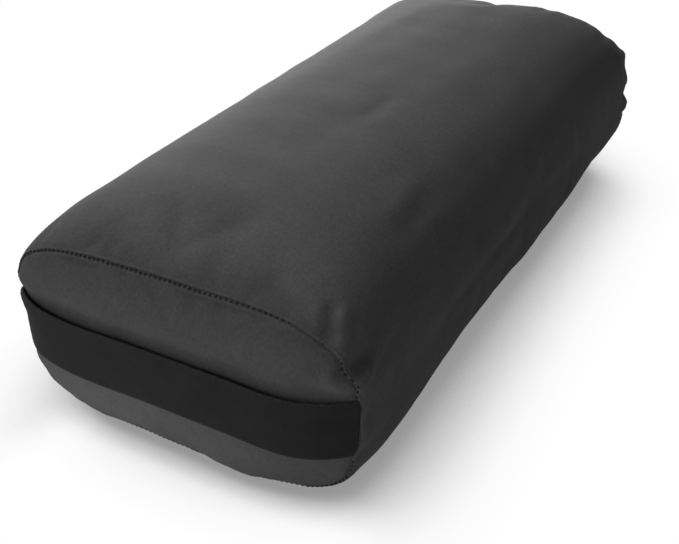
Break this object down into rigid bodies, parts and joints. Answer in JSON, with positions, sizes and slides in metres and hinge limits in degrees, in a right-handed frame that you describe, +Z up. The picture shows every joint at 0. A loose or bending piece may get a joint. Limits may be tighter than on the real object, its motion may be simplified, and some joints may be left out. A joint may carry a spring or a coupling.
{
  "type": "yoga bolster",
  "caption": "Rectangular yoga bolster: zipped cotton cover with a webbing handle across each end, round a muslin liner filled with cotton batting.",
  "frame": {"origin": "middle of the flat patch of the underside that rests on the floor, midway between the end seams", "axes": "+Z up; Y along the length, with the pictured handle end at -Y; X across the width, with the zip on the -X side"},
  "size_m": [0.3105, 0.6898, 0.2055],
  "materials": {
    "cover_cotton": "matte",
    "handle_webbing": "matte",
    "zip_tape": "matte",
    "zip_nylon": "satin",
    "zip_metal": "satin",
    "liner_muslin": "matte",
    "cotton_batting": "matte"
  },
  "bodies": {
    "bolster": {"cover_wrap": "cover_cotton", "cover_end_front": "cover_cotton", "cover_end_rear": "cover_cotton", "handle_front": "handle_webbing", "handle_rear": "handle_webbing", "zip_tape_upper": "zip_tape", "zip_tape_lower": "zip_tape", "zip_teeth_upper": "zip_nylon", "zip_teeth_lower": "zip_nylon", "zip_top_stop_upper": "zip_metal", "zip_top_stop_lower": "zip_metal", "zip_bottom_stop": "zip_metal", "liner_wrap": "liner_muslin", "liner_end_front": "liner_muslin", "liner_end_rear": "liner_muslin", "batting_layer_1": "cotton_batting", "batting_layer_2": "cotton_batting", "batting_layer_3": "cotton_batting", "batting_layer_4": "cotton_batting", "batting_layer_5": "cotton_batting"},
    "slider": {"zip_slider": "zip_metal"},
    "pull_tab": {"zip_pull_tab": "zip_metal"}
  },
  "joints": [
    {"name": "zip_slide", "type": "slide", "parent": "bolster", "child": "slider", "axis": [0, -1, 0], "range_m": [0, 0.4965], "deforming": ["zip_teeth_upper", "zip_teeth_lower"]},
    {"name": "pull_tab_hinge", "type": "hinge", "parent": "slider", "child": "pull_tab", "pos_m": [-0.15585, 0.2498, 0.10686], "axis": [0, 0, -1], "range_deg": [0, 175]}
  ]
}
